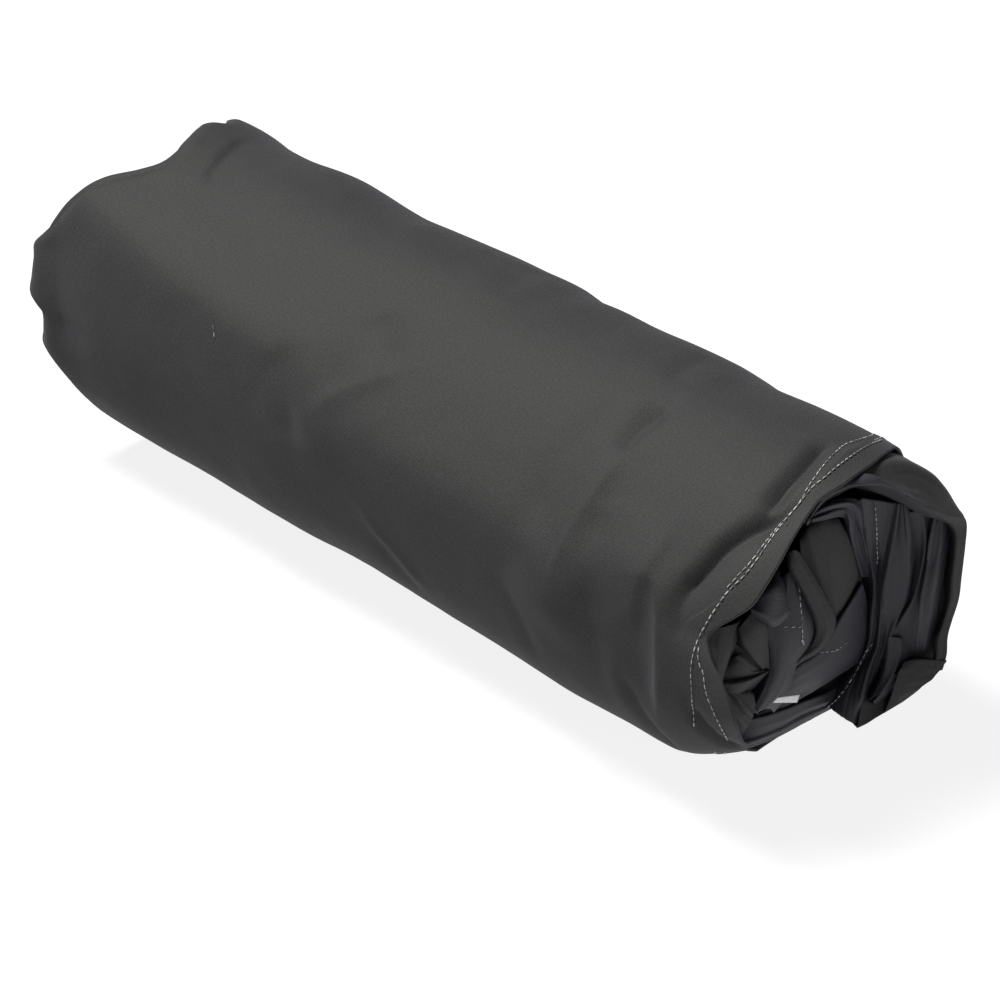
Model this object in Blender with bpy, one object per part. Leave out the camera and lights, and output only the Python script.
"""A boat cover, rolled up and lying on the ground.

The cover is folded lengthways into a long strip and wound into one roll. The near end (+X) is open:
its hemmed outer turn stands proud of the crumpled turns inside, and the next turn hangs out of the
mouth as a loose fold. The far end (-X) is cut off at a slant. The roll's own weight presses a narrow
flat strip along its underside.

Metres, +Z up. +X runs along the roll to the open end, the ground is Z = 0, and the origin is under
the middle of the roll. A place around the roll is its turn: degrees from the back (+Y), up over the
top (90), down the front (180) and under (270).
"""

import math

import bmesh
import bpy
import numpy as np

# ---- Driving dimensions --------------------------------------------------------------------------

ROLL_RADIUS = 0.1275
AXIS_HEIGHT = 0.1215          # less than the radius, so the underside lies flat on the ground
CLOTH_THICKNESS = 0.0022      # a hem or a folded edge of coated polyester, two layers and its air
CLEARANCE = 0.0004            # air between two pieces that touch

CORE_Y = -0.006               # where the winding starts, a little in front of and below the axis
CORE_Z = 0.108
WOUND_TURNS = 3.5             # turns that can be counted from the core to the outside
RIDGE_HEIGHT = 0.0045         # how far each turn's edge stands proud of the gap beside it

AROUND = 50                   # facets around the roll
ALONG = 44                    # facets along the roll

NEAR_FLOOR_X = 0.303          # where the crumpled turns lie inside the mouth of the roll
FAR_FLOOR_X = -0.306

# The outer turn's radius along the roll, as a share of ROLL_RADIUS.
# along: 0 at the far rim, 1 at the near rim
GIRTH = (
    # along, share
    (0.000, 0.915),
    (0.010, 0.950),
    (0.045, 0.988),
    (0.110, 0.995),
    (0.300, 0.985),
    (0.520, 0.998),
    (0.760, 1.003),
    (0.900, 1.000),
    (0.970, 0.985),
    (1.000, 0.962),
)

# Where the near rim lies along X, around the roll. It hangs back where the roll rests on it.
NEAR_RIM = (
    # turn, x
    (0, 0.338),
    (30, 0.337),
    (60, 0.337),
    (80, 0.345),
    (100, 0.353),
    (120, 0.357),
    (145, 0.355),
    (159, 0.334),
    (172, 0.349),
    (195, 0.350),
    (225, 0.334),
    (250, 0.308),
    (270, 0.301),
    (290, 0.303),
    (310, 0.312),
    (330, 0.329),
    (345, 0.337),
)

# Where the far rim lies along X. It sticks out at the front and is drawn back over the top.
FAR_RIM = (
    # turn, x
    (0, -0.330),
    (40, -0.312),
    (75, -0.318),
    (92, -0.309),
    (105, -0.300),
    (118, -0.315),
    (131, -0.3430),
    (150, -0.3650),
    (174, -0.3670),
    (180, -0.3570),
    (198, -0.3580),
    (215, -0.3300),
    (240, -0.3180),
    (275, -0.3220),
    (315, -0.3350),
)

# Soft folds of the outer turn. Each is a trough (height below zero) or a ridge, that runs around the
# roll for about twice its reach and leans along the roll as it goes.
FOLDS = (
    # x, turn, width along the roll, reach around it, lean per degree, height
    (0.200, 112, 0.017, 60, 0.00000, -0.0050),       # waist, where the inner turns end short
    (0.228, 100, 0.015, 45, 0.00000, 0.0022),
    (0.323, 147, 0.015, 30, -0.00065, -0.0060),      # drawn in behind the hem, down the front
    (0.327, 97, 0.012, 17, 0.00040, -0.0035),        # leaf-shaped hollow by the hem, on top
    (0.288, 192, 0.016, 42, -0.00040, -0.0040),      # tuck down the front of the open end
    (0.005, 124, 0.024, 14, 0.00000, -0.0035),       # dent in the shoulder, with its ridge
    (-0.017, 141, 0.016, 14, -0.00320, 0.0030),
    (-0.312, 64, 0.020, 38, 0.00000, 0.0030),        # hump and hollow at the drawn-back far end
    (-0.266, 58, 0.020, 36, 0.00070, -0.0050),
    (-0.125, 52, 0.022, 34, 0.00030, -0.0035),
    (0.066, 48, 0.022, 30, -0.00030, -0.0020),
    (-0.190, 335, 0.024, 44, -0.00050, -0.0045),     # folds down the back
    (0.040, 350, 0.026, 38, 0.00060, -0.0040),
    (0.235, 345, 0.018, 40, -0.00030, -0.0050),
    (-0.080, 225, 0.050, 30, 0.00000, -0.0025),      # slack along the foot of the front
    (0.140, 222, 0.045, 24, 0.00000, 0.0015),
)

# From the rim to the core of each end: how much of the drop from the rim to the floor of the mouth is
# done, and how much of the spiral of turn edges shows.
NEAR_FACE = (
    # share of radius, drop, spiral
    (0.975, -0.02, 0.0),
    (0.950, 0.06, 0.0),
    (0.915, 0.38, 0.0),
    (0.870, 0.80, 0.3),
    (0.800, 1.00, 1.0),
    (0.710, 1.02, 1.0),
    (0.620, 1.00, 1.0),
    (0.530, 1.00, 1.0),
    (0.440, 1.00, 1.0),
    (0.350, 1.00, 1.0),
    (0.260, 1.00, 0.8),
    (0.160, 1.00, 0.4),
)
FAR_FACE = (
    # share of radius, drop, spiral
    (0.960, 0.00, 0.0),
    (0.915, 0.15, 0.3),
    (0.850, 0.70, 1.0),
    (0.760, 1.00, 1.0),
    (0.660, 1.00, 1.0),
    (0.560, 1.00, 1.0),
    (0.460, 1.00, 1.0),
    (0.340, 1.00, 0.8),
    (0.200, 1.00, 0.4),
)

# The loose fold of the second turn, from under the hem on top, down the back of the mouth, to the
# pointed corner that it ends in below. Its crest is the folded edge, taut across the top.
LOOSE_FOLD = (
    # turn, root radius, crest radius, crest x, lip radius, lip x
    (96, 0.1185, 0.1165, 0.3630, 0.1060, 0.3480),
    (84, 0.1205, 0.1150, 0.3650, 0.1000, 0.3470),
    (72, 0.1215, 0.1080, 0.3665, 0.0890, 0.3440),
    (60, 0.1220, 0.1030, 0.3670, 0.0800, 0.3420),
    (48, 0.1225, 0.1020, 0.3665, 0.0760, 0.3400),
    (36, 0.1225, 0.1075, 0.3650, 0.0730, 0.3380),
    (24, 0.1220, 0.1160, 0.3630, 0.0700, 0.3350),
    (12, 0.1215, 0.1180, 0.3610, 0.0680, 0.3330),
    (0, 0.1215, 0.1170, 0.3600, 0.0660, 0.3300),
    (-12, 0.1215, 0.1180, 0.3605, 0.0650, 0.3280),
    (-24, 0.1210, 0.1170, 0.3610, 0.0660, 0.3270),
    (-34, 0.1210, 0.1180, 0.3640, 0.0700, 0.3260),
    (-43, 0.1205, 0.1175, 0.3600, 0.0760, 0.3250),
    (-52, 0.1200, 0.1170, 0.3500, 0.0850, 0.3250),
    (-61, 0.1190, 0.1165, 0.3420, 0.0950, 0.3250),
    (-67, 0.1180, 0.1160, 0.3350, 0.1020, 0.3240),
)
FOLD_STEPS = 38               # facets along the loose fold
LEG_STEPS = 3                 # facets across its outer leg and across its inner leg
PLEAT_COUNT = 9               # soft pleats down the inner leg of the loose fold
PLEAT_DEPTH = 0.0030

LABEL_LENGTH = 0.022          # the plain woven label sewn to the lower turns
LABEL_REACH = 0.014
LABEL_ROOT_X = 0.3071         # just clear of the turn's edge that it is sewn to
LABEL_THICKNESS = 0.0010
LABEL_PLACE = (252, 0.50)     # its turn, and its share of the radius
LABEL_TILT = 14               # degrees that its long side drops towards the back

CLOTH_COLOUR = (0.085, 0.085, 0.083, 1.0)
LINING_COLOUR = (0.040, 0.039, 0.046, 1.0)
LABEL_COLOUR = (0.45, 0.45, 0.46, 1.0)
CLOTH_ROUGHNESS = 0.78
LABEL_ROUGHNESS = 0.85


# ---- Reading the tables --------------------------------------------------------------------------

def ease(share):
    """A soft step from 0 to 1."""
    share = min(max(share, 0.0), 1.0)
    return share * share * (3.0 - 2.0 * share)


def read_row(rows, key, column):
    """The eased value of one column of a table at a key between its rows."""
    if key <= rows[0][0]:
        return rows[0][column]
    for low, high in zip(rows, rows[1:]):
        if key <= high[0]:
            share = ease((key - low[0]) / (high[0] - low[0]))
            return low[column] + share * (high[column] - low[column])
    return rows[-1][column]


def read_around(rows, turn):
    """The value of a two-column table that closes on itself around the roll."""
    first = rows[0]
    return read_row(rows + ((first[0] + 360, first[1]),), turn % 360, 1)


def turn_apart(turn, other):
    """The signed angle from one turn to another, between -180 and 180 degrees."""
    return (turn - other + 180.0) % 360.0 - 180.0


# ---- The roll ------------------------------------------------------------------------------------

def fold_height(x, turn):
    """How far the folds lift the outer turn at one place."""
    height = 0.0
    for fold_x, fold_turn, width, reach, lean, rise in FOLDS:
        around = turn_apart(turn, fold_turn)
        across = (x - fold_x - lean * around) / width
        height += rise * math.exp(-across ** 2) * math.exp(-(around / reach) ** 4)
    return height


def skin_point(along, turn):
    """A point of the outer turn, pressed flat where it meets the ground."""
    far_x = read_around(FAR_RIM, turn)
    near_x = read_around(NEAR_RIM, turn)
    x = far_x + along * (near_x - far_x)
    radius = ROLL_RADIUS * read_row(GIRTH, along, 1) + fold_height(x, turn)
    angle = math.radians(turn)
    y = radius * math.cos(angle)
    z = AXIS_HEIGHT + radius * math.sin(angle)
    return x, y, max(z, 0.0)


def face_point(rim, floor_x, share, drop, spiral, turn, outward):
    """A point of an end face, between the rim and the core of the winding."""
    x, y, z = rim
    winding = math.radians(360.0 * WOUND_TURNS * (1.0 - share) + turn)
    x += drop * (floor_x - x)
    x += outward * spiral * RIDGE_HEIGHT * math.sin(winding)
    return x, CORE_Y + share * (y - CORE_Y), CORE_Z + share * (z - CORE_Z)


def near_brim_x(turn):
    """The furthest that the near end reaches at one turn, its facets to both sides included."""
    facet = 360.0 / AROUND
    rim_x = max(read_around(NEAR_RIM, turn + side) for side in (-facet, 0.0, facet))
    return rim_x - NEAR_FACE[0][1] * (rim_x - NEAR_FLOOR_X)


def ring_of(point_at):
    """One ring of points around the roll."""
    return [point_at(360.0 * step / AROUND) for step in range(AROUND)]


def roll_rings():
    """Every ring of the roll, from the far core over the outside to the near core."""
    rings = []
    for share, drop, spiral in reversed(FAR_FACE):
        rings.append(ring_of(lambda turn: face_point(
            skin_point(0.0, turn), FAR_FLOOR_X, share, drop, spiral, turn, -1.0)))
    for step in range(ALONG + 1):
        rings.append(ring_of(lambda turn: skin_point(step / ALONG, turn)))
    for share, drop, spiral in NEAR_FACE:
        rings.append(ring_of(lambda turn: face_point(
            skin_point(1.0, turn), NEAR_FLOOR_X, share, drop, spiral, turn, 1.0)))
    return rings


def loft_closed_rings(name, rings, start_tip, end_tip):
    """A closed body through rings of equal size, with a tip at each end."""
    shape = bmesh.new()
    rows = [[shape.verts.new(point) for point in ring] for ring in rings]
    for row, after in zip(rows, rows[1:]):
        for step in range(len(row)):
            beside = (step + 1) % len(row)
            shape.faces.new((row[step], row[beside], after[beside], after[step]))
    for row, tip in ((rows[0], start_tip), (rows[-1], end_tip)):
        centre = shape.verts.new(tip)
        for step in range(len(row)):
            shape.faces.new((row[step], row[(step + 1) % len(row)], centre))
    return finish(name, shape)


def finish(name, shape):
    """Turns a closed bmesh into an object with its faces outwards and split into triangles."""
    bmesh.ops.recalc_face_normals(shape, faces=shape.faces)
    bmesh.ops.triangulate(shape, faces=shape.faces)
    mesh = bpy.data.meshes.new(name)
    shape.to_mesh(mesh)
    shape.free()
    mesh.shade_smooth()
    made = bpy.data.objects.new(name, mesh)
    bpy.context.collection.objects.link(made)
    return made


def make_roll():
    """The wound cover as one solid."""
    return loft_closed_rings(
        "rolled_cover",
        roll_rings(),
        (FAR_FLOOR_X, CORE_Y, CORE_Z),
        (NEAR_FLOOR_X, CORE_Y, CORE_Z),
    )


# ---- The loose fold ------------------------------------------------------------------------------

def fold_profile(turn):
    """The loose fold's section at one turn: (radius, x) from its root over the crest to its lip."""
    rows = tuple(reversed(LOOSE_FOLD))
    root_radius, crest_radius, crest_x, lip_radius, lip_x = (
        read_row(rows, turn, column) for column in range(1, 6))
    root_x = near_brim_x(turn) + CLEARANCE
    pleat = PLEAT_DEPTH * math.sin(math.radians(PLEAT_COUNT * turn))
    profile = []
    for step in range(LEG_STEPS):
        share = step / LEG_STEPS
        profile.append((
            root_radius + share * (crest_radius - root_radius),
            root_x + share * (crest_x - root_x)))
    for step in range(LEG_STEPS + 1):
        share = step / LEG_STEPS
        profile.append((
            crest_radius + share * (lip_radius - crest_radius),
            crest_x + share * (lip_x - crest_x) + share * pleat))
    return profile


def thickened(profile):
    """The outline of a profile with the cloth's thickness, laid to the outside of the mouth."""
    points = np.array(profile)
    along = np.gradient(points, axis=0)
    along /= np.linalg.norm(along, axis=1)[:, None]
    outside = points + CLOTH_THICKNESS * np.stack((along[:, 1], -along[:, 0]), axis=1)
    return list(profile) + [tuple(point) for point in outside[::-1]]


def make_loose_fold():
    """The second turn's fold, standing in the mouth of the roll as one folded sheet."""
    first = LOOSE_FOLD[0][0]
    last = LOOSE_FOLD[-1][0]
    shape = bmesh.new()
    rows = []
    for step in range(FOLD_STEPS + 1):
        turn = first + (last - first) * step / FOLD_STEPS
        angle = math.radians(turn)
        rows.append([
            shape.verts.new((x, radius * math.cos(angle), AXIS_HEIGHT + radius * math.sin(angle)))
            for radius, x in thickened(fold_profile(turn))])
    for row, after in zip(rows, rows[1:]):
        for step in range(len(row)):
            beside = (step + 1) % len(row)
            shape.faces.new((row[step], row[beside], after[beside], after[step]))
    for row in (rows[0], rows[-1]):
        half = len(row) // 2
        for step in range(half - 1):
            shape.faces.new((row[step], row[step + 1], row[-step - 2], row[-step - 1]))
    return finish("loose_fold", shape)


# ---- The label -----------------------------------------------------------------------------------

def make_label():
    """The bare label: a small stiff tab that stands out of the lower turns."""
    turn, share = LABEL_PLACE
    rim = skin_point(1.0, turn)
    y = CORE_Y + share * (rim[1] - CORE_Y)
    z = CORE_Z + share * (rim[2] - CORE_Z)
    bpy.ops.mesh.primitive_cube_add(size=1.0)
    label = bpy.context.object
    label.name = "label_tab"
    label.scale = (LABEL_REACH, LABEL_LENGTH, LABEL_THICKNESS)
    label.rotation_euler = (math.radians(-LABEL_TILT), 0.0, 0.0)
    label.location = (LABEL_ROOT_X + LABEL_REACH / 2, y, z)
    return label


# ---- Finish --------------------------------------------------------------------------------------

def give_material(made, name, colour, roughness):
    """One plain material for one piece."""
    material = bpy.data.materials.new(name)
    material.use_nodes = True
    shader = material.node_tree.nodes["Principled BSDF"]
    shader.inputs["Base Color"].default_value = colour
    shader.inputs["Roughness"].default_value = roughness
    shader.inputs["Metallic"].default_value = 0.0
    made.data.materials.append(material)


def main():
    for old in list(bpy.data.objects):
        bpy.data.objects.remove(old)
    give_material(make_roll(), "charcoal polyester", CLOTH_COLOUR, CLOTH_ROUGHNESS)
    give_material(make_loose_fold(), "polyester, inner side", LINING_COLOUR, CLOTH_ROUGHNESS)
    give_material(make_label(), "bare woven label", LABEL_COLOUR, LABEL_ROUGHNESS)


main()
